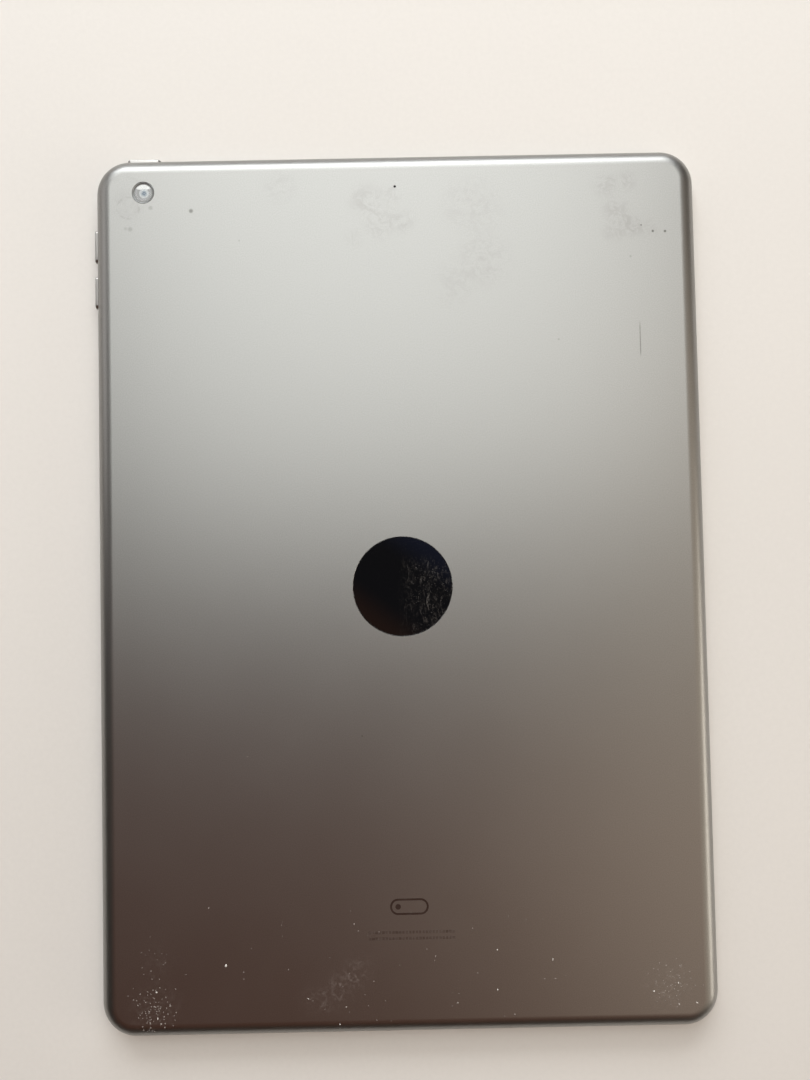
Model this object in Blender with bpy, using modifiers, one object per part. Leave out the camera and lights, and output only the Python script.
"""A tablet computer that lies on its screen.

Metres, +Z up. The origin is the centre of the cover glass's outer face, +Z points out of the
aluminium back, +Y to the edge with the power key and -X to the edge with the volume keys.
Left and right are as the back is seen with +Y upwards.
"""

import math

import bmesh
import bpy
from mathutils import Matrix

MM = 0.001

# Body outline and edge
BODY_WIDTH = 174.1 * MM
BODY_HEIGHT = 250.6 * MM
BODY_TOP = 7.5 * MM
BODY_CORNER = 10.0 * MM
EDGE_ROUND = 5.3 * MM
RIM_CHAMFER = 0.45 * MM
RIM_Z = 0.15 * MM
HALF_W = BODY_WIDTH / 2
HALF_H = BODY_HEIGHT / 2

# Case walls
SIDE_WALL = 3.2 * MM
BACK_WALL = 0.8 * MM
CAVITY_CORNER = 7.0 * MM
CAVITY_ROUND = 3.4 * MM
CAVITY_TOP = BODY_TOP - BACK_WALL
CAVITY_X = HALF_W - SIDE_WALL
CAVITY_Y = HALF_H - SIDE_WALL
LEDGE_Z = 1.2 * MM
BELOW = 1.0 * MM  # how far cutters reach past the face they open
THROUGH = 12.0 * MM  # length of a cutter that passes a wall

# Cover glass and what is bonded to it
GLASS_THICKNESS = 0.7 * MM
GLASS_INSET = 0.9 * MM
GLASS_GAP = 0.15 * MM
GLASS_CORNER = BODY_CORNER - GLASS_INSET
GLASS_EDGE_ROUND = 0.12 * MM
LAYER_GAP = 0.05 * MM
GASKET_WIDTH = 2.0 * MM
GASKET_INSET = 0.3 * MM
SENSOR_SIZE = (161.6 * MM, 214.6 * MM)
SENSOR_THICKNESS = 0.15 * MM

# Display: 10.2 inch diagonal, 4:3
PANEL_X = 158.4 * MM
PANEL_Y = 211.6 * MM
TRAY_X = 160.8 * MM
TRAY_Y = 214.0 * MM
TRAY_LOW = 1.05 * MM
TRAY_HIGH = 3.05 * MM
TRAY_SHEET = 0.25 * MM
TRAY_CORNER = 1.2 * MM
PANEL_THICKNESS = 0.75 * MM
TAB_X = 79.5 * MM
TAB_Y = 109.0 * MM
TAB_SIZE = 5.0 * MM
TAB_SHIFT = (0.6 * MM, 0.2 * MM)
TAB_RELIEF = 0.06 * MM
LED_COUNT = 8
LED_PITCH = 19.0 * MM
LED_NOTCH = (4.0 * MM, 3.0 * MM, 4.0 * MM)

# Home button
HOME_Y = -114.4 * MM
HOME_RADIUS = 5.45 * MM
HOME_HOLE = 5.6 * MM
HOME_RING_WIDTH = 0.5 * MM
HOME_TRAVEL = 0.3 * MM
RING_Z = 0.1 * MM
RING_CHAMFER = 0.1 * MM
RING_SLOPE = 0.2 * MM
CAP_Z = 0.3 * MM
CAP_GAP = 0.05 * MM
CAP_FOOT = 0.9 * MM
CAP_FOOT_THICKNESS = 0.25 * MM
CAP_PAD = (1.2 * MM, 0.4 * MM)
BUTTON_BASE_Z = 1.0 * MM
BUTTON_GASKET = (5.7 * MM, 6.95 * MM, 0.25 * MM)
BRACKET_LOW = 2.12 * MM
BRACKET_HIGH = 2.3 * MM
BRACKET_SIZE = (19.2 * MM, 7.0 * MM)
BRACKET_LEG = (1.8 * MM, 6.6 * MM)
BRACKET_LEG_INSET = 0.1 * MM
HOME_SWITCH_SIZE = 3.6 * MM

# Keys on the edges
KEY_LENGTH = 9.7 * MM
KEY_HEIGHT = 2.2 * MM
KEY_PROUD = 0.45 * MM
KEY_Z = 3.1 * MM
KEY_CLEARANCE = 0.1 * MM
KEY_FLANGE = 0.6 * MM
FLANGE_MARGIN = 1.1 * MM
FLANGE_LIP = 0.25 * MM
FLANGE_GAP = 0.1 * MM
KEY_PIN = (0.8 * MM, 0.3 * MM)
KEY_TRAVEL = 0.3 * MM
POCKET_DEPTH = 1.2 * MM
POCKET_END_ROOM = 0.3 * MM
POCKET_SIDE_ROOM = 0.2 * MM
KEY_OVERLAP = 0.1 * MM
SWITCH_GAP = 0.08 * MM
SWITCH_DOME = (1.1 * MM, 0.3 * MM)
SWITCH_BODY = (0.9 * MM, 3.6 * MM, 2.6 * MM)
SWITCH_CORNER = 0.4 * MM
SWITCH_SHEET = 0.3 * MM
VOLUME_BRACKET = (10.0 * MM, 3.4 * MM)
VOLUME_FOOT = (1.6 * MM, 4.0 * MM)
POWER_BRACKET = (9.0 * MM, 3.0 * MM)
VOLUME_UP_Y = 100.4 * MM
VOLUME_DOWN_Y = 86.9 * MM
POWER_X = -73.1 * MM

# Back features
CAMERA_X = -72.3 * MM
CAMERA_Y = 114.4 * MM
CAMERA_HOLE = 3.15 * MM
CAMERA_GLASS = 2.7 * MM
CAMERA_GLASS_THICKNESS = 0.6 * MM
CAMERA_GLASS_DEPTH = 0.15 * MM
CAMERA_BODY = 7.8 * MM
CAMERA_LOW = 1.5 * MM
CAMERA_HIGH = 5.2 * MM
BARREL_RADIUS = 2.65 * MM
BARREL_LIP = 2.25 * MM
BARREL_CONE = (1.25 * MM, 0.5 * MM)
LENS_RADIUS = 1.15 * MM
LENS_SEAT = (1.2 * MM, 1.0 * MM)
FRONT_CAMERA_Y = 115.0 * MM
MIC_Y = 114.8 * MM
MIC_HOLE = 0.3 * MM
MIC_BODY = (3.8 * MM, 2.9 * MM)
MIC_LOW = 5.3 * MM
MIC_HIGH = 6.3 * MM
MIC_GAUZE = (1.2 * MM, 0.15 * MM)
MIC_GAUZE_Z = 6.5 * MM
EMBLEM_RADIUS = 14.0 * MM
EMBLEM_GAP = 0.08 * MM
EMBLEM_FLANGE = 1.6 * MM
EMBLEM_FLANGE_THICKNESS = 0.25 * MM

# Sockets and sound
JACK_X = 73.0 * MM
JACK_Z = 3.15 * MM
JACK_BORE = 1.76 * MM
JACK_NOSE = 1.88 * MM
JACK_BODY = (6.2 * MM, 13.0 * MM, 4.0 * MM)
JACK_BACK_GAP = 0.8 * MM
JACK_NOSE_INSET = 1.6 * MM
JACK_END_WALL = 1.2 * MM
PORT_Z = 3.75 * MM
PORT_OPENING = (6.9 * MM, 1.9 * MM)
PORT_SHELL = (8.2 * MM, 2.6 * MM)
PORT_HOLE = (8.6 * MM, 3.0 * MM)
PORT_INSET = 1.1 * MM
PORT_LENGTH = 9.7 * MM
PORT_DEPTH = 7.6 * MM
PORT_CARRIER = (5.0 * MM, 5.0 * MM, 0.12 * MM)
PORT_CARRIER_DEPTH = 4.6 * MM
PORT_RIB = (0.3 * MM, 4.2 * MM, 0.2 * MM)
PORT_RIB_COUNT = 8
PORT_RIB_PITCH = 0.62 * MM
PORT_RIB_SINK = 0.05 * MM
SPEAKER_HOLE = 0.45 * MM
SPEAKER_PITCH = 1.8 * MM
SPEAKER_COLUMNS = 12
SPEAKER_ROWS = (2.9 * MM, 4.3 * MM)
SPEAKER_START = 18.0 * MM
SPEAKER_X = 45.0 * MM
SPEAKER_Z = 3.6 * MM
SPEAKER_BOX = (58.0 * MM, 4.0 * MM)
SPEAKER_GAPS = (1.1 * MM, 1.0 * MM)
SPEAKER_DISH = (4.2 * MM, 1.0 * MM)
SPEAKER_DISH_SHIFT = 8.0 * MM
GAUZE_SIZE = (22.0 * MM, 0.15 * MM, 2.6 * MM)
GAUZE_GAP = 0.65 * MM
CONTACT_PITCH = 3.6 * MM
CONTACT_Z = 2.7 * MM
CONTACT_RADIUS = 0.75 * MM
CONTACT_CARRIER = (11.4 * MM, 2.3 * MM)
CONTACT_INSET = 0.35 * MM
CONTACT_BACK = 0.6 * MM
CONTACT_GAP = 0.06 * MM
CONTACT_TAIL = 0.3 * MM

# Boards and battery
BOARD_LOW = 3.6 * MM
BOARD_HIGH = 4.4 * MM
BOARD_CENTRE = (-68.3 * MM, 20.0 * MM)
BOARD_SIZE = (24.4 * MM, 164.0 * MM)
BOARD_SCREWS = ((-59.5 * MM, 98.0 * MM), (-77.0 * MM, -58.0 * MM))
CELL_SIZE = (62.0 * MM, 166.0 * MM)
CELL_LOW = 3.45 * MM
CELL_HIGH = 6.25 * MM
CELL_Y = 12.0 * MM
FILM = 0.12 * MM
CELL_CORNER = 2.0 * MM
CELL_LEFT_X = -21.5 * MM
CELL_RIGHT_X = 43.5 * MM
BATTERY_BOARD = (60.0 * MM, 5.0 * MM)
BATTERY_BOARD_GAP = 4.0 * MM
BATTERY_BOARD_X = 11.0 * MM
BATTERY_BOARD_LOW = 4.0 * MM
BATTERY_BOARD_HIGH = 4.8 * MM
BATTERY_CHIP = (5.0 * MM, 2.8 * MM, 0.9 * MM)
BATTERY_CHIP_XS = (-10.0 * MM, 4.0 * MM, 18.0 * MM, 32.0 * MM)
BATTERY_CHIP_Z = 5.15 * MM
BOARD_CHIP_X = -66.0 * MM
BOARD_CHIPS = ((-44.0 * MM, 4.0 * MM), (-35.0 * MM, 5.0 * MM), (-26.0 * MM, 6.0 * MM))
BOARD_CHIP = (5.0 * MM, 1.0 * MM)
BOARD_CHIP_RISE = 0.4 * MM
SHIELD_X = -69.0 * MM
SHIELD_WIDTH = 19.0 * MM
SHIELD_HEIGHT = 1.45 * MM
SHIELDS = (("processor", 62.0 * MM, 34.0 * MM), ("storage", 22.0 * MM, 30.0 * MM))
ANTENNA_X = 38.0 * MM
ANTENNA_Y = 116.5 * MM
ANTENNA_SIZE = (34.0 * MM, 6.0 * MM)
ANTENNA_LOW = 1.5 * MM
ANTENNA_HIGH = 2.9 * MM
ANTENNA_STUB = (26.0 * MM, 1.5 * MM, 1.6 * MM)
ANTENNA_STUB_AT = (118.6 * MM, 3.3 * MM)
MAGNET_SIZE = (2.0 * MM, 30.0 * MM, 3.0 * MM)
MAGNET_AT = (82.2 * MM, 62.0 * MM, 3.5 * MM)

# Screws and the posts they enter
CORNERS = ((-1, 1), (1, 1), (1, -1), (-1, -1))
BOSS_RADIUS = 1.8 * MM
BOSS_ROOT = 0.3 * MM
BOARD_BOSS_RADIUS = 1.6 * MM
THREAD_RADIUS = 0.6 * MM
THREAD_DEPTH = 2.4 * MM
THREAD_OPENING = 0.2 * MM
SCREW_SHAFT = 0.5 * MM
SCREW_CLEARANCE = 0.75 * MM
DISPLAY_SCREW = (1.3 * MM, 0.5 * MM, 1.5 * MM)  # head radius, head depth, reach above the sheet
BOARD_SCREW = (1.2 * MM, 0.4 * MM, 1.2 * MM)

# Flat cables
DISPLAY_FLEX = (-20.0 * MM, -58.0 * MM, -30.0 * MM, 16.0 * MM)  # start x, end x, y, width
DISPLAY_PLUG = (3.0 * MM, 13.0 * MM, 0.26 * MM)
TOUCH_FLEX_Y = 20.0 * MM
TOUCH_FLEX_WIDTH = 22.0 * MM
TOUCH_FLEX_BEND = 0.35 * MM
TOUCH_FLEX_OUT = 1.1 * MM
TOUCH_FLEX_IN = 6.0 * MM
BUTTON_FLEX_BEND = 5.0 * MM
BUTTON_FLEX_WIDTH = 2.2 * MM
BUTTON_FLEX_GAPS = (2.1 * MM, 2.45 * MM)
BUTTON_FLEX_ENDS = (80.0 * MM, -66.0 * MM)
HOME_FLEX_X = 7.6 * MM
HOME_FLEX_LOW = 2.2 * MM
HOME_FLEX_WIDTH = 3.0 * MM
HOME_FLEX_END = -88.0 * MM
FLEX_OVER_TRAY = 0.2 * MM

# Finishes: base colour, roughness, metallic
FINISHES = {
    "anodised_aluminium": ((0.30, 0.29, 0.29), 0.42, 1.0),
    "edge_key_aluminium": ((0.36, 0.35, 0.35), 0.32, 1.0),
    "gloss_emblem": ((0.008, 0.008, 0.010), 0.06, 0.0),
    "cover_glass_black": ((0.012, 0.012, 0.014), 0.05, 0.0),
    "camera_glass": ((0.05, 0.06, 0.07), 0.04, 0.0),
    "bright_steel": ((0.62, 0.62, 0.64), 0.25, 1.0),
    "black_plastic": ((0.02, 0.02, 0.02), 0.5, 0.0),
    "black_foam": ((0.03, 0.03, 0.03), 0.9, 0.0),
    "panel_black": ((0.02, 0.02, 0.03), 0.2, 0.0),
    "light_guide": ((0.85, 0.86, 0.88), 0.35, 0.0),
    "circuit_board": ((0.02, 0.10, 0.06), 0.45, 0.0),
    "shield_steel": ((0.55, 0.55, 0.56), 0.38, 1.0),
    "battery_wrap": ((0.03, 0.03, 0.035), 0.4, 0.0),
    "flex_film": ((0.30, 0.13, 0.03), 0.4, 0.0),
    "gold_contact": ((0.85, 0.62, 0.25), 0.25, 1.0),
    "magnet_nickel": ((0.60, 0.59, 0.56), 0.3, 1.0),
}

AXIS_INDEX = {"X": 0, "Y": 1, "Z": 2}
TURN_FROM_Z = {
    "X": Matrix.Rotation(math.pi / 2, 4, "Y"),
    "Y": Matrix.Rotation(-math.pi / 2, 4, "X"),
    "Z": Matrix.Identity(4),
}


# ---- Scene ----


def clear_scene():
    for obj in list(bpy.data.objects):
        bpy.data.objects.remove(obj)


def make_collection(name):
    collection = bpy.data.collections.new(name)
    bpy.context.scene.collection.children.link(collection)
    return collection


def make_finish(name):
    colour, roughness, metallic = FINISHES[name]
    material = bpy.data.materials.new(name)
    material.use_nodes = True
    shader = material.node_tree.nodes["Principled BSDF"]
    shader.inputs["Base Color"].default_value = (*colour, 1.0)
    shader.inputs["Roughness"].default_value = roughness
    shader.inputs["Metallic"].default_value = metallic
    return material


clear_scene()
TABLET = make_collection("tablet_computer")
CUTTERS = make_collection("cutters")
MATERIALS = {name: make_finish(name) for name in FINISHES}


# ---- Shapes ----


def add_object(name, shape, at, finish):
    """An object from a bmesh. With no finish it is a cutter or a shape to be joined."""
    mesh = bpy.data.meshes.new(name)
    shape.to_mesh(mesh)
    shape.free()
    obj = bpy.data.objects.new(name, mesh)
    obj.location = at
    if finish:
        mesh.materials.append(MATERIALS[finish])
        TABLET.objects.link(obj)
    else:
        CUTTERS.objects.link(obj)
        obj.hide_render = True
        obj.display_type = "WIRE"
    return obj


def edges_along(shape, axis):
    i = AXIS_INDEX[axis]
    return [e for e in shape.edges if abs((e.verts[0].co - e.verts[1].co).normalized()[i]) > 0.99]


def rim_edges(shape, height):
    return [e for e in shape.edges if all(abs(v.co.z - height) < 0.01 * MM for v in e.verts)]


def bevel(shape, edges, width, segments):
    bmesh.ops.bevel(
        shape,
        geom=edges,
        offset=width,
        segments=segments,
        profile=0.5,
        affect="EDGES",
        clamp_overlap=False,
    )


def block(name, size, at, finish=None, corner=0.0, along="Z", segments=5):
    """A box whose four edges along one axis are rounded."""
    shape = bmesh.new()
    bmesh.ops.create_cube(shape, size=1.0)
    bmesh.ops.scale(shape, vec=size, verts=shape.verts)
    if corner:
        bevel(shape, edges_along(shape, along), corner, segments)
        bmesh.ops.remove_doubles(shape, verts=shape.verts, dist=0.0001 * MM)
    return add_object(name, shape, at, finish)


def span(low, high):
    """Size and centre of a stretch, as block() takes them."""
    return high - low, (low + high) / 2


def plate(name, width, height, low, high, centre=(0.0, 0.0), finish=None, corner=0.0, segments=5):
    """A flat block between two heights."""
    thickness, middle = span(low, high)
    size = (width, height, thickness)
    return block(name, size, (centre[0], centre[1], middle), finish, corner, "Z", segments)


def rounded_body(name, half_x, half_y, low, high, corner, top_round, segments, rounds):
    """A box with rounded corners whose upper edge is rounded over."""
    shape = bmesh.new()
    bmesh.ops.create_cube(shape, size=1.0)
    bmesh.ops.scale(shape, vec=(2 * half_x, 2 * half_y, high - low), verts=shape.verts)
    bevel(shape, edges_along(shape, "Z"), corner, segments)
    bevel(shape, rim_edges(shape, (high - low) / 2), top_round, rounds)
    return shape


def rod(name, radius, length, at, finish=None, along="Z", segments=24):
    shape = bmesh.new()
    bmesh.ops.create_cone(
        shape, cap_ends=True, segments=segments, radius1=radius, radius2=radius, depth=length
    )
    shape.transform(TURN_FROM_Z[along])
    return add_object(name, shape, at, finish)


def turned(name, profile, at, finish, steps=32):
    """A profile of (radius, height) points turned about Z, its outer side running down."""
    shape = bmesh.new()
    points = [shape.verts.new((r, 0.0, z)) for r, z in profile]
    ring = profile[0][0] > 0.0
    for i in range(len(points) if ring else len(points) - 1):
        shape.edges.new((points[i], points[(i + 1) % len(points)]))
    obj = add_object(name, shape, at, finish)
    screw = obj.modifiers.new("turn", "SCREW")
    screw.steps = steps
    screw.render_steps = steps
    screw.use_merge_vertices = True
    screw.merge_threshold = 0.00001
    return obj


def combine(target, other, operation):
    boolean = target.modifiers.new(operation.lower() + "_" + other.name, "BOOLEAN")
    boolean.operation = operation
    boolean.object = other
    boolean.solver = "EXACT"


def cut(target, *cutters):
    for cutter in cutters:
        combine(target, cutter, "DIFFERENCE")


def join(target, *others):
    for other in others:
        combine(target, other, "UNION")


def ribbon(name, path, width, thickness, finish, across):
    """A flat cable: points swept across its width, and given its thickness."""
    shape = bmesh.new()
    i = AXIS_INDEX[across]
    rows = []
    for point in path:
        row = []
        for side in (-0.5, 0.5):
            corner = list(point)
            corner[i] += side * width
            row.append(shape.verts.new(corner))
        rows.append(row)
    for a, b in zip(rows, rows[1:]):
        shape.faces.new((a[0], b[0], b[1], a[1]))
    obj = add_object(name, shape, (0.0, 0.0, 0.0), finish)
    solid = obj.modifiers.new("thickness", "SOLIDIFY")
    solid.thickness = thickness
    solid.offset = 0.0
    solid.use_even_offset = True
    return obj


def arc(centre, radius, start, end, count):
    """Points on an arc in a plane, angles in degrees."""
    turns = [math.radians(start + (end - start) * i / count) for i in range(count + 1)]
    return [(centre[0] + radius * math.cos(t), centre[1] + radius * math.sin(t)) for t in turns]


# ---- Case ----


def speaker_hole_cutter():
    """All the speaker holes as one cutter of separate small rods."""
    shape = bmesh.new()
    for side in (-1, 1):
        for z in SPEAKER_ROWS:
            for column in range(SPEAKER_COLUMNS):
                x = side * (SPEAKER_START + column * SPEAKER_PITCH)
                place = Matrix.Translation((x, -HALF_H, z)) @ TURN_FROM_Z["Y"]
                bmesh.ops.create_cone(
                    shape,
                    cap_ends=True,
                    segments=8,
                    radius1=SPEAKER_HOLE,
                    radius2=SPEAKER_HOLE,
                    depth=THROUGH,
                    matrix=place,
                )
    return add_object("speaker_hole_cutter", shape, (0.0, 0.0, 0.0), None)


def key_cutters(name, at, along):
    """The slot that a key slides in, and the pocket inside the wall for its flange."""
    hole_length = KEY_LENGTH + 2 * KEY_CLEARANCE
    hole_height = KEY_HEIGHT + 2 * KEY_CLEARANCE
    pocket_length = KEY_LENGTH + 2 * (FLANGE_MARGIN + POCKET_END_ROOM)
    pocket_height = KEY_HEIGHT + 2 * (FLANGE_LIP + POCKET_SIDE_ROOM)
    pocket = SIDE_WALL
    middle = HALF_W - SIDE_WALL + POCKET_DEPTH - pocket / 2
    if along == "X":
        slot = block(name + "_slot", (THROUGH, hole_length, hole_height), at, None, hole_height / 2, "X")
        size = (pocket, pocket_length, pocket_height)
        place = (-middle, at[1], at[2])
    else:
        slot = block(name + "_slot", (hole_length, THROUGH, hole_height), at, None, hole_height / 2, "Y")
        middle += HALF_H - HALF_W
        size = (pocket_length, pocket, pocket_height)
        place = (at[0], middle, at[2])
    return slot, block(name + "_pocket", size, place)


def screw_boss(name, x, y, low, radius):
    """A post under the back wall, and the cutter for its thread."""
    length, middle = span(low, CAVITY_TOP + BOSS_ROOT)
    post = rod(name + "_post", radius, length, (x, y, middle), None, "Z", 12)
    at = (x, y, low + THREAD_DEPTH / 2 - THREAD_OPENING)
    thread = rod(name + "_thread", THREAD_RADIUS, THREAD_DEPTH, at, None, "Z", 8)
    return post, thread


def build_case():
    shape = rounded_body(
        "case", HALF_W, HALF_H, RIM_Z, BODY_TOP, BODY_CORNER, EDGE_ROUND, 8, 6
    )
    bevel(shape, rim_edges(shape, -(BODY_TOP - RIM_Z) / 2), RIM_CHAMFER, 1)
    case = add_object("rear_case", shape, (0.0, 0.0, (BODY_TOP + RIM_Z) / 2), "anodised_aluminium")

    low = RIM_Z - BELOW
    inside = rounded_body(
        "inside", CAVITY_X, CAVITY_Y, low, CAVITY_TOP, CAVITY_CORNER, CAVITY_ROUND, 5, 4
    )
    cavity = add_object("case_cavity", inside, (0.0, 0.0, (low + CAVITY_TOP) / 2), None)
    pocket_inset = GLASS_INSET - GLASS_GAP
    seat = plate(
        "glass_seat",
        BODY_WIDTH - 2 * pocket_inset,
        BODY_HEIGHT - 2 * pocket_inset,
        low,
        LEDGE_Z,
        corner=BODY_CORNER - pocket_inset,
        segments=8,
    )
    cut(case, cavity, seat)

    threads = []
    for i, (sx, sy) in enumerate(CORNERS, 1):
        low = TRAY_HIGH + 2 * LAYER_GAP
        post, thread = screw_boss(f"display_boss_{i}", sx * TAB_X, sy * TAB_Y, low, BOSS_RADIUS)
        join(case, post)
        threads.append(thread)
    for i, (x, y) in enumerate(BOARD_SCREWS, 1):
        post, thread = screw_boss(f"board_boss_{i}", x, y, BOARD_HIGH + LAYER_GAP, BOARD_BOSS_RADIUS)
        join(case, post)
        threads.append(thread)
    cut(case, *threads)

    up = key_cutters("volume_up", (-HALF_W, VOLUME_UP_Y, KEY_Z), "X")
    down = key_cutters("volume_down", (-HALF_W, VOLUME_DOWN_Y, KEY_Z), "X")
    power = key_cutters("power", (POWER_X, HALF_H, KEY_Z), "Y")
    cut(case, *up, *down, *power)

    slot_width, slot_height = (side + 2 * FLANGE_GAP for side in CONTACT_CARRIER)
    cut(
        case,
        rod("camera_hole", CAMERA_HOLE, THROUGH / 2, (CAMERA_X, CAMERA_Y, BODY_TOP), None, "Z", 28),
        rod("mic_hole", MIC_HOLE, THROUGH / 2, (0.0, MIC_Y, BODY_TOP), None, "Z", 10),
        rod("emblem_hole", EMBLEM_RADIUS, THROUGH / 2, (0.0, 0.0, BODY_TOP), None, "Z", 48),
        rod("jack_hole", JACK_NOSE + LAYER_GAP, THROUGH, (JACK_X, HALF_H, JACK_Z), None, "Y", 20),
        block("port_hole", (PORT_HOLE[0], THROUGH, PORT_HOLE[1]), (0.0, -HALF_H, PORT_Z), None,
              PORT_HOLE[1] / 2, "Y", 6),
        block("contact_slot", (THROUGH, slot_width, slot_height), (HALF_W, 0.0, CONTACT_Z), None,
              slot_height / 2, "X", 6),
        speaker_hole_cutter(),
    )
    return case


def build_emblem():
    """A plain round gloss inlay bonded from the inside, with a flange behind the back wall."""
    face = EMBLEM_RADIUS - EMBLEM_GAP
    flange_high = CAVITY_TOP - LAYER_GAP
    flange_low = flange_high - EMBLEM_FLANGE_THICKNESS
    profile = [
        (0.0, BODY_TOP),
        (face, BODY_TOP),
        (face, flange_high),
        (EMBLEM_RADIUS + EMBLEM_FLANGE, flange_high),
        (EMBLEM_RADIUS + EMBLEM_FLANGE, flange_low),
        (0.0, flange_low),
    ]
    turned("emblem_insert", profile, (0.0, 0.0, 0.0), "gloss_emblem", 48)


# ---- Front ----


def build_glass():
    width = BODY_WIDTH - 2 * GLASS_INSET
    height = BODY_HEIGHT - 2 * GLASS_INSET
    shape = bmesh.new()
    bmesh.ops.create_cube(shape, size=1.0)
    bmesh.ops.scale(shape, vec=(width, height, GLASS_THICKNESS), verts=shape.verts)
    bevel(shape, edges_along(shape, "Z"), GLASS_CORNER, 8)
    bevel(shape, rim_edges(shape, -GLASS_THICKNESS / 2), GLASS_EDGE_ROUND, 1)
    glass = add_object("cover_glass", shape, (0.0, 0.0, GLASS_THICKNESS / 2), "cover_glass_black")
    cut(glass, rod("home_hole", HOME_HOLE, THROUGH / 2, (0.0, HOME_Y, 0.0), None, "Z", 40))

    outer_x = width - 2 * GASKET_INSET
    outer_y = height - 2 * GASKET_INSET
    corner = GLASS_CORNER - GASKET_INSET
    low = GLASS_THICKNESS + LAYER_GAP
    high = LEDGE_Z - LAYER_GAP
    gasket = plate("display_gasket", outer_x, outer_y, low, high, (0, 0), "black_foam", corner)
    window = plate("gasket_window", outer_x - 2 * GASKET_WIDTH, outer_y - 2 * GASKET_WIDTH,
                   low - BELOW, high + BELOW, corner=corner - GASKET_WIDTH)
    cut(gasket, window)

    plate("touch_sensor", *SENSOR_SIZE, low, low + SENSOR_THICKNESS, (0, 0), "panel_black", MM, 2)


def build_display():
    tray = plate("lcd_tray", TRAY_X, TRAY_Y, TRAY_LOW, TRAY_HIGH, (0, 0), "shield_steel", TRAY_CORNER, 3)
    for i, (sx, sy) in enumerate(CORNERS, 1):
        size = (TAB_SIZE, TAB_SIZE, TRAY_SHEET - TAB_RELIEF)
        at = (sx * (TAB_X - TAB_SHIFT[0]), sy * (TAB_Y - TAB_SHIFT[1]), TRAY_HIGH - TRAY_SHEET / 2)
        join(tray, block(f"tray_tab_{i}", size, at, None, MM, "Z", 2))
    inner = plate("tray_inner", TRAY_X - 2 * TRAY_SHEET, TRAY_Y - 2 * TRAY_SHEET,
                  TRAY_LOW - BELOW, TRAY_HIGH - TRAY_SHEET)
    cut(tray, inner)
    for i, (sx, sy) in enumerate(CORNERS, 1):
        at = (sx * TAB_X, sy * TAB_Y, TRAY_HIGH)
        cut(tray, rod(f"tab_hole_{i}", SCREW_CLEARANCE, 4 * BELOW, at, None, "Z", 10))

    panel_low = TRAY_LOW + LAYER_GAP
    panel_high = panel_low + PANEL_THICKNESS
    plate("lcd_panel", PANEL_X, PANEL_Y, panel_low, panel_high, (0, 0), "panel_black")
    guide_low = panel_high + LAYER_GAP
    guide = plate("backlight_guide", PANEL_X, PANEL_Y, guide_low, TRAY_HIGH - TRAY_SHEET - LAYER_GAP,
                  (0, 0), "light_guide")
    for i in range(LED_COUNT):
        x = (i - (LED_COUNT - 1) / 2) * LED_PITCH
        cut(guide, block(f"led_notch_{i}", LED_NOTCH, (x, -PANEL_Y / 2, guide_low)))


def build_home_button():
    """The cap and its steel ring slide into the body along Z; the other pieces stay on the glass."""
    inner = HOME_RADIUS - HOME_RING_WIDTH
    centre = (0.0, HOME_Y, 0.0)
    ring = [
        (HOME_RADIUS - RING_CHAMFER, BUTTON_BASE_Z),
        (HOME_RADIUS, BUTTON_BASE_Z - RING_CHAMFER),
        (HOME_RADIUS, RING_Z + RING_CHAMFER),
        (HOME_RADIUS - RING_CHAMFER, RING_Z),
        (inner, RING_Z + RING_SLOPE),
        (inner, BUTTON_BASE_Z),
    ]
    turned("home_button_ring", ring, centre, "bright_steel", 40)
    cap_radius = inner - CAP_GAP
    back = BUTTON_BASE_Z + CAP_GAP
    foot = HOME_RADIUS + CAP_FOOT
    pad_radius, pad_rise = CAP_PAD
    pad = back + pad_rise
    cap = [
        (0.0, pad),
        (pad_radius, pad),
        (pad_radius, back + CAP_FOOT_THICKNESS),
        (foot, back + CAP_FOOT_THICKNESS),
        (foot, back),
        (cap_radius, back),
        (cap_radius, CAP_Z),
        (0.0, CAP_Z),
    ]
    turned("home_button_cap", cap, centre, "cover_glass_black", 40)

    low = GLASS_THICKNESS + LAYER_GAP
    gasket_inner, gasket_outer, gasket_thickness = BUTTON_GASKET
    gasket = [
        (gasket_outer, low + gasket_thickness),
        (gasket_outer, low),
        (gasket_inner, low),
        (gasket_inner, low + gasket_thickness),
    ]
    turned("home_button_gasket", gasket, centre, "black_foam", 32)

    bracket = plate("home_button_bracket", *BRACKET_SIZE, BRACKET_LOW, BRACKET_HIGH, (0.0, HOME_Y),
                    "shield_steel")
    leg_height, leg_middle = span(low, (BRACKET_LOW + BRACKET_HIGH) / 2)
    leg_width, leg_depth = BRACKET_LEG
    leg_x = BRACKET_SIZE[0] / 2 - BRACKET_LEG_INSET - leg_width / 2
    for side in (-1, 1):
        leg = (leg_width, leg_depth, leg_height)
        join(bracket, block(f"home_leg_{side}", leg, (side * leg_x, HOME_Y, leg_middle)))
    switch_low = pad + HOME_TRAVEL + LAYER_GAP
    thickness, middle = span(switch_low, BRACKET_LOW - LAYER_GAP)
    block("home_button_switch", (HOME_SWITCH_SIZE, HOME_SWITCH_SIZE, thickness), (0.0, HOME_Y, middle),
          "bright_steel", SWITCH_CORNER, "Z", 3)


# ---- Keys ----


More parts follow.
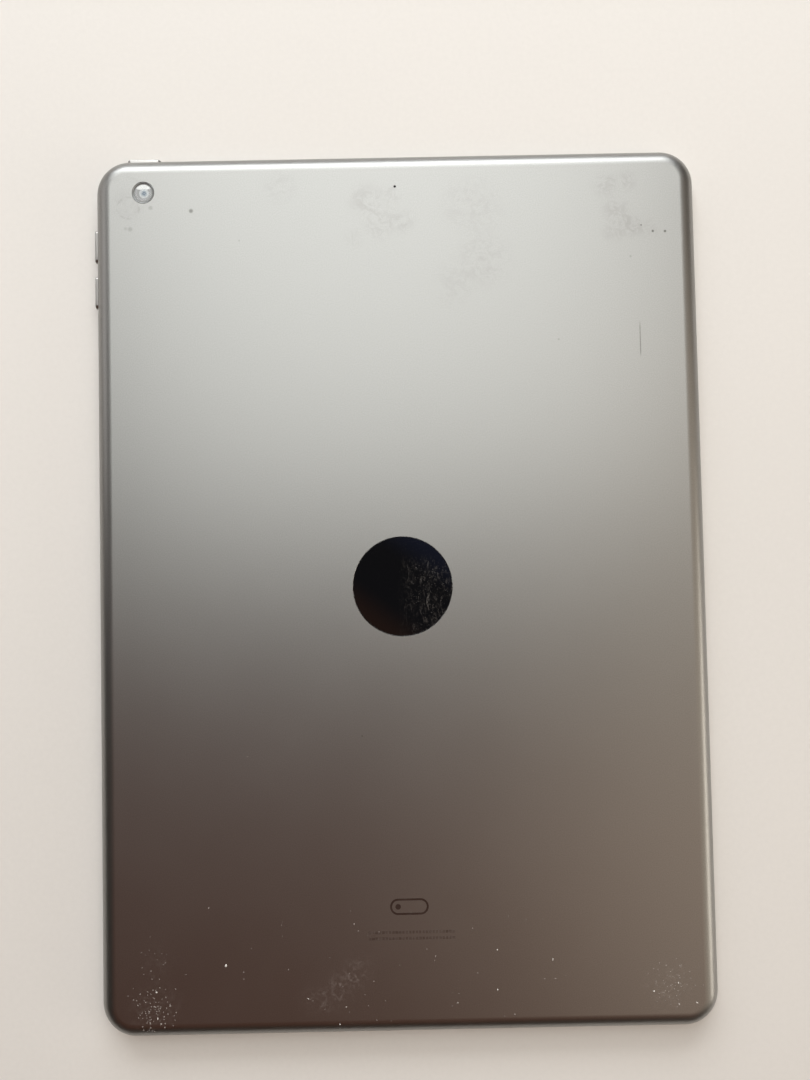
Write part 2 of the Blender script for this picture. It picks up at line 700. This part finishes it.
def build_key(name, at, along):
    """A stadium-shaped key with a flange inside the wall, its origin on its slide axis."""
    inner = -(SIDE_WALL - POCKET_DEPTH + FLANGE_GAP + KEY_FLANGE)
    pin_radius, pin_rise = KEY_PIN
    length, middle = span(inner + 2 * KEY_OVERLAP, KEY_PROUD)
    flange_middle = inner + KEY_FLANGE / 2
    pin_length, pin_middle = span(inner - pin_rise, inner + KEY_OVERLAP)
    sign = -1 if along == "X" else 1

    def size(depth, run, height):
        return (depth, run, height) if along == "X" else (run, depth, height)

    def place(depth):
        return (sign * depth, 0.0, 0.0) if along == "X" else (0.0, sign * depth, 0.0)

    round_end = KEY_HEIGHT / 2
    key = block(name, size(length, KEY_LENGTH, KEY_HEIGHT), at, "edge_key_aluminium", round_end, along, 6)
    key.data.transform(Matrix.Translation(place(middle)))
    flange = block(name + "_flange",
                   size(KEY_FLANGE, KEY_LENGTH + 2 * FLANGE_MARGIN, KEY_HEIGHT + 2 * FLANGE_LIP), at)
    flange.data.transform(Matrix.Translation(place(flange_middle)))
    pin = rod(name + "_pin", pin_radius, pin_length, at, None, along, 12)
    pin.data.transform(Matrix.Translation(place(pin_middle)))
    join(key, flange, pin)


def build_keys():
    build_key("volume_up_button", (-HALF_W, VOLUME_UP_Y, KEY_Z), "X")
    build_key("volume_down_button", (-HALF_W, VOLUME_DOWN_Y, KEY_Z), "X")
    build_key("power_button", (POWER_X, HALF_H, KEY_Z), "Y")

    face = SIDE_WALL - POCKET_DEPTH + FLANGE_GAP + KEY_FLANGE + KEY_PIN[1] + KEY_TRAVEL + SWITCH_GAP
    dome_radius, dome = SWITCH_DOME
    body, body_run, body_height = SWITCH_BODY
    dome_length = dome + KEY_OVERLAP
    for name, y in (("volume_up_switch", VOLUME_UP_Y), ("volume_down_switch", VOLUME_DOWN_Y)):
        x = -HALF_W + face
        switch = block(name, SWITCH_BODY, (x + dome + body / 2, y, KEY_Z), "bright_steel",
                       SWITCH_CORNER, "X", 2)
        join(switch, rod(name + "_dome", dome_radius, dome_length, (x + dome_length / 2, y, KEY_Z),
                         None, "X", 16))
    y = HALF_H - face
    switch = block("power_switch", (body_run, body, body_height), (POWER_X, y - dome - body / 2, KEY_Z),
                   "bright_steel", SWITCH_CORNER, "Y", 2)
    join(switch, rod("power_dome", dome_radius, dome_length, (POWER_X, y - dome_length / 2, KEY_Z),
                     None, "Y", 16))

    back = face + dome + body + LAYER_GAP
    past_keys, height = VOLUME_BRACKET
    middle_y = (VOLUME_UP_Y + VOLUME_DOWN_Y) / 2
    run = VOLUME_UP_Y - VOLUME_DOWN_Y + past_keys
    x = -HALF_W + back + SWITCH_SHEET / 2
    volume = block("volume_switch_bracket", (SWITCH_SHEET, run, height), (x, middle_y, KEY_Z),
                   "shield_steel")
    foot_width, foot_run = VOLUME_FOOT
    foot_x = x + foot_width / 2 - LAYER_GAP
    foot_z = KEY_Z + height / 2 - SWITCH_SHEET + LAYER_GAP
    for side in (-1, 1):
        at = (foot_x, middle_y + side * (run - past_keys / 2) / 2, foot_z)
        join(volume, block(f"volume_foot_{side}", (foot_width, foot_run, SWITCH_SHEET), at))
    y = HALF_H - back - SWITCH_SHEET / 2
    width, height = POWER_BRACKET
    block("power_switch_bracket", (width, SWITCH_SHEET, height), (POWER_X, y, KEY_Z), "shield_steel")


# ---- Cameras and microphone ----


def build_rear_camera():
    at = (CAMERA_X, CAMERA_Y, 0.0)
    outer = CAMERA_HOLE - FLANGE_GAP
    inner = CAMERA_GLASS + LAYER_GAP
    trim_high = BODY_TOP - 0.02 * MM
    slope = 0.1 * MM
    trim = [
        (outer, trim_high),
        (outer, CAVITY_TOP),
        (inner, CAVITY_TOP),
        (inner, trim_high - slope),
        (inner + 2 * slope + LAYER_GAP, trim_high),
    ]
    turned("camera_trim_ring", trim, at, "edge_key_aluminium", 36)
    glass_z = BODY_TOP - CAMERA_GLASS_DEPTH - CAMERA_GLASS_THICKNESS / 2
    rod("camera_cover_glass", CAMERA_GLASS, CAMERA_GLASS_THICKNESS, (CAMERA_X, CAMERA_Y, glass_z),
        "camera_glass", "Z", 36)

    high = CAVITY_TOP - FLANGE_GAP
    camera = plate("rear_camera_module", CAMERA_BODY, CAMERA_BODY, CAMERA_LOW, CAMERA_HIGH,
                   (CAMERA_X, CAMERA_Y), "black_plastic", 0.6 * MM, 2)
    cone_radius, cone_depth = BARREL_CONE
    cone = high - cone_depth
    root = CAMERA_HIGH - BOSS_ROOT
    barrel = [
        (0.0, cone),
        (cone_radius, cone),
        (BARREL_LIP, high),
        (BARREL_RADIUS, high),
        (BARREL_RADIUS, root),
        (0.0, root),
    ]
    join(camera, turned("rear_camera_barrel", barrel, at, None, 28))
    seat_radius, seat_depth = LENS_SEAT
    cut(camera, rod("lens_seat", seat_radius, 2 * seat_depth, (CAMERA_X, CAMERA_Y, cone), None, "Z", 24))
    shoulder = 0.3 * MM
    lens = [
        (0.0, cone),
        (LENS_RADIUS / 2, cone - shoulder / 4),
        (LENS_RADIUS, cone - shoulder),
        (LENS_RADIUS, cone - seat_depth + LAYER_GAP),
        (0.0, cone - seat_depth + LAYER_GAP),
    ]
    turned("rear_camera_lens", lens, at, "camera_glass", 24)


def build_front_camera_and_microphone():
    front = plate("front_camera_module", 6.2 * MM, 6.2 * MM, 1.3 * MM, 3.9 * MM, (0.0, FRONT_CAMERA_Y),
                  "black_plastic", 0.5 * MM, 2)
    join(front, rod("front_lens", 1.4 * MM, 0.8 * MM, (0.0, FRONT_CAMERA_Y, 1.2 * MM), None, "Z", 20))

    plate("rear_microphone", *MIC_BODY, MIC_LOW, MIC_HIGH, (0.0, MIC_Y), "shield_steel", 0.3 * MM, 2)
    rod("rear_microphone_mesh", *MIC_GAUZE, (0.0, MIC_Y, MIC_GAUZE_Z), "black_foam", "Z", 16)


# ---- Sockets and sound ----


def build_jack():
    width, run, height = JACK_BODY
    inner_y = CAVITY_Y - JACK_BACK_GAP
    back_y = inner_y - run
    jack = block("headphone_jack", JACK_BODY, (JACK_X, inner_y - run / 2, JACK_Z), "black_plastic",
                 0.5 * MM, "Y", 2)
    nose_end = HALF_H - JACK_NOSE_INSET
    nose_length, nose_middle = span(inner_y - BELOW, nose_end)
    join(jack, rod("jack_nose", JACK_NOSE, nose_length, (JACK_X, nose_middle, JACK_Z), None, "Y", 20))
    bore_length, bore_middle = span(back_y + JACK_END_WALL, nose_end + BELOW)
    cut(jack, rod("jack_bore", JACK_BORE, bore_length, (JACK_X, bore_middle, JACK_Z), None, "Y", 20))


def build_port():
    mouth_y = -HALF_H + PORT_INSET
    port = block("charging_port", (PORT_SHELL[0], PORT_LENGTH, PORT_SHELL[1]),
                 (0.0, mouth_y + PORT_LENGTH / 2, PORT_Z), "bright_steel", PORT_SHELL[1] / 2, "Y", 6)
    opening = block("port_opening", (PORT_OPENING[0], 2 * PORT_DEPTH, PORT_OPENING[1]),
                    (0.0, mouth_y, PORT_Z), None, PORT_OPENING[1] / 2, "Y", 6)
    cut(port, opening)

    ceiling = PORT_Z + PORT_OPENING[1] / 2 - LAYER_GAP
    carrier_y = mouth_y + PORT_CARRIER_DEPTH
    carrier_z = ceiling - PORT_CARRIER[2] / 2
    contacts = block("port_contact_block", PORT_CARRIER, (0.0, carrier_y, carrier_z), "gold_contact")
    rib_z = ceiling - PORT_CARRIER[2] - PORT_RIB_SINK
    for i in range(PORT_RIB_COUNT):
        x = (i - (PORT_RIB_COUNT - 1) / 2) * PORT_RIB_PITCH
        join(contacts, block(f"port_rib_{i}", PORT_RIB, (x, carrier_y, rib_z)))


def build_speakers():
    wall_y = -CAVITY_Y
    width, height = SPEAKER_BOX
    length, middle = span(wall_y + SPEAKER_GAPS[0], -TAB_Y + SPEAKER_GAPS[1])
    for name, side in (("left", -1), ("right", 1)):
        x = side * SPEAKER_X
        box = block(f"speaker_{name}", (width, length, height), (x, middle, SPEAKER_Z), "black_plastic",
                    TRAY_CORNER, "Z", 3)
        dish_at = (x + side * SPEAKER_DISH_SHIFT, middle, SPEAKER_Z - height / 2)
        cut(box, rod(f"speaker_{name}_dish", *SPEAKER_DISH, dish_at, None, "Z", 24))
        mesh_x = side * (SPEAKER_START + (SPEAKER_COLUMNS - 1) * SPEAKER_PITCH / 2)
        block(f"speaker_mesh_{name}", GAUZE_SIZE, (mesh_x, wall_y + GAUZE_GAP, SPEAKER_Z), "black_foam",
              0.6 * MM, "Y", 2)


def build_accessory_contacts():
    """A plastic insert in the right edge with three round contacts."""
    face_x = HALF_W - CONTACT_INSET
    back_x = CAVITY_X - CONTACT_BACK
    length, middle = span(back_x, face_x)
    carrier = block("accessory_contact_carrier", (length, *CONTACT_CARRIER), (middle, 0.0, CONTACT_Z),
                    "black_plastic", CONTACT_CARRIER[1] / 2, "X", 6)
    pin_length, pin_middle = span(back_x - CONTACT_TAIL, face_x)
    for i in range(3):
        y = (i - 1) * CONTACT_PITCH
        cut(carrier, rod(f"contact_seat_{i}", CONTACT_RADIUS + CONTACT_GAP, 2 * THROUGH,
                         (HALF_W, y, CONTACT_Z), None, "X", 16))
        rod(f"accessory_contact_{i + 1}", CONTACT_RADIUS, pin_length, (pin_middle, y, CONTACT_Z),
            "gold_contact", "X", 16)


# ---- Battery and boards ----


def build_battery():
    for name, x in (("left", CELL_LEFT_X), ("right", CELL_RIGHT_X)):
        plate(f"battery_cell_{name}", *CELL_SIZE, CELL_LOW, CELL_HIGH, (x, CELL_Y), "battery_wrap",
              CELL_CORNER, 3)
    board_y = CELL_Y - CELL_SIZE[1] / 2 - BATTERY_BOARD_GAP
    board = plate("battery_board", *BATTERY_BOARD, BATTERY_BOARD_LOW, BATTERY_BOARD_HIGH,
                  (BATTERY_BOARD_X, board_y), "circuit_board")
    for i, x in enumerate(BATTERY_CHIP_XS):
        join(board, block(f"battery_chip_{i}", BATTERY_CHIP, (x, board_y, BATTERY_CHIP_Z)))


def screw(name, shape, low, high, at):
    """A screw whose head lies under a sheet and whose shaft rises above it."""
    head_radius, head_depth, reach = shape
    profile = [
        (0.0, high + reach),
        (SCREW_SHAFT, high + reach),
        (SCREW_SHAFT, low - LAYER_GAP),
        (head_radius, low - LAYER_GAP),
        (head_radius, low - head_depth),
        (0.0, low - head_depth),
    ]
    turned(name, profile, (*at, 0.0), "bright_steel", 12)


def build_boards():
    board = plate("logic_board", *BOARD_SIZE, BOARD_LOW, BOARD_HIGH, BOARD_CENTRE, "circuit_board", MM, 2)
    for i, (x, y) in enumerate(BOARD_SCREWS, 1):
        cut(board, rod(f"board_hole_{i}", SCREW_CLEARANCE, 4 * BELOW, (x, y, BOARD_HIGH), None, "Z", 10))
        screw(f"board_screw_{i}", BOARD_SCREW, BOARD_LOW, BOARD_HIGH, (x, y))
    run, height = BOARD_CHIP
    for i, (y, width) in enumerate(BOARD_CHIPS):
        at = (BOARD_CHIP_X, y, BOARD_HIGH + BOARD_CHIP_RISE)
        join(board, block(f"board_chip_{i}", (width, run, height), at))
    low = BOARD_HIGH + LAYER_GAP
    for name, y, run in SHIELDS:
        plate(f"{name}_shield", SHIELD_WIDTH, run, low, low + SHIELD_HEIGHT, (SHIELD_X, y),
              "shield_steel", 0.8 * MM, 2)


def build_antennas_and_magnets():
    stub_y, stub_z = ANTENNA_STUB_AT
    for name, side in (("left", -1), ("right", 1)):
        x = side * ANTENNA_X
        antenna = plate(f"wifi_antenna_{name}", *ANTENNA_SIZE, ANTENNA_LOW, ANTENNA_HIGH, (x, ANTENNA_Y),
                        "black_plastic", 0.8 * MM, 2)
        join(antenna, block(f"antenna_{name}_stub", ANTENNA_STUB, (x, stub_y, stub_z)))
    magnet_x, magnet_y, magnet_z = MAGNET_AT
    for name, side in (("upper", 1), ("lower", -1)):
        block(f"cover_magnet_{name}", MAGNET_SIZE, (magnet_x, side * magnet_y, magnet_z),
              "magnet_nickel", 0.3 * MM, "Y", 2)


# ---- Cables and fasteners ----


def build_cables():
    over = TRAY_HIGH + FLEX_OVER_TRAY
    start_x, end_x, y, width = DISPLAY_FLEX
    display = ribbon("display_flex", [(start_x, y, over), (end_x, y, over)], width, FILM, "flex_film", "Y")
    plug_at = (end_x + 2 * MM, y, over + 0.1 * MM)
    join(display, block("display_plug", DISPLAY_PLUG, plug_at))

    x = -TRAY_X / 2
    y = TOUCH_FLEX_Y
    bend = TOUCH_FLEX_BEND
    low_centre = (x - TOUCH_FLEX_OUT, TRAY_LOW + bend)
    high_centre = (x - TOUCH_FLEX_OUT, over - bend)
    path = [(x - FLEX_OVER_TRAY, y, TRAY_LOW)]
    path += [(px, y, pz) for px, pz in arc(low_centre, bend, 270, 180, 3)]
    path += [(px, y, pz) for px, pz in arc(high_centre, bend, 180, 90, 3)]
    path += [(x + TOUCH_FLEX_IN, y, over)]
    ribbon("touch_flex", path, TOUCH_FLEX_WIDTH, FILM, "flex_film", "Y")

    tray_end = -TRAY_Y / 2
    home = [
        (HOME_FLEX_X, HOME_Y + 4.2 * MM, HOME_FLEX_LOW),
        (HOME_FLEX_X, tray_end - 1.2 * MM, HOME_FLEX_LOW),
        (HOME_FLEX_X, tray_end - 0.5 * MM, over),
        (HOME_FLEX_X, HOME_FLEX_END, over),
    ]
    ribbon("home_button_flex", home, HOME_FLEX_WIDTH, FILM, "flex_film", "X")

    wall_x = -CAVITY_X + BUTTON_FLEX_GAPS[0]
    wall_y = CAVITY_Y - BUTTON_FLEX_GAPS[1]
    centre = (wall_x + BUTTON_FLEX_BEND, wall_y - BUTTON_FLEX_BEND)
    path = [(wall_x, BUTTON_FLEX_ENDS[0], KEY_Z)]
    path += [(px, py, KEY_Z) for px, py in arc(centre, BUTTON_FLEX_BEND, 180, 90, 6)]
    path += [(BUTTON_FLEX_ENDS[1], wall_y, KEY_Z)]
    ribbon("button_flex", path, BUTTON_FLEX_WIDTH, FILM, "flex_film", "Z")


def build_display_screws():
    for i, (sx, sy) in enumerate(CORNERS, 1):
        at = (sx * TAB_X, sy * TAB_Y)
        screw(f"display_screw_{i}", DISPLAY_SCREW, TRAY_HIGH - TRAY_SHEET, TRAY_HIGH, at)


build_case()
build_emblem()
build_glass()
build_display()
build_home_button()
build_keys()
build_rear_camera()
build_front_camera_and_microphone()
build_jack()
build_port()
build_speakers()
build_accessory_contacts()
build_battery()
build_boards()
build_antennas_and_magnets()
build_cables()
build_display_screws()

for part in TABLET.objects:
    part.data.shade_smooth()
    part.data.set_sharp_from_angle(angle=math.radians(30))
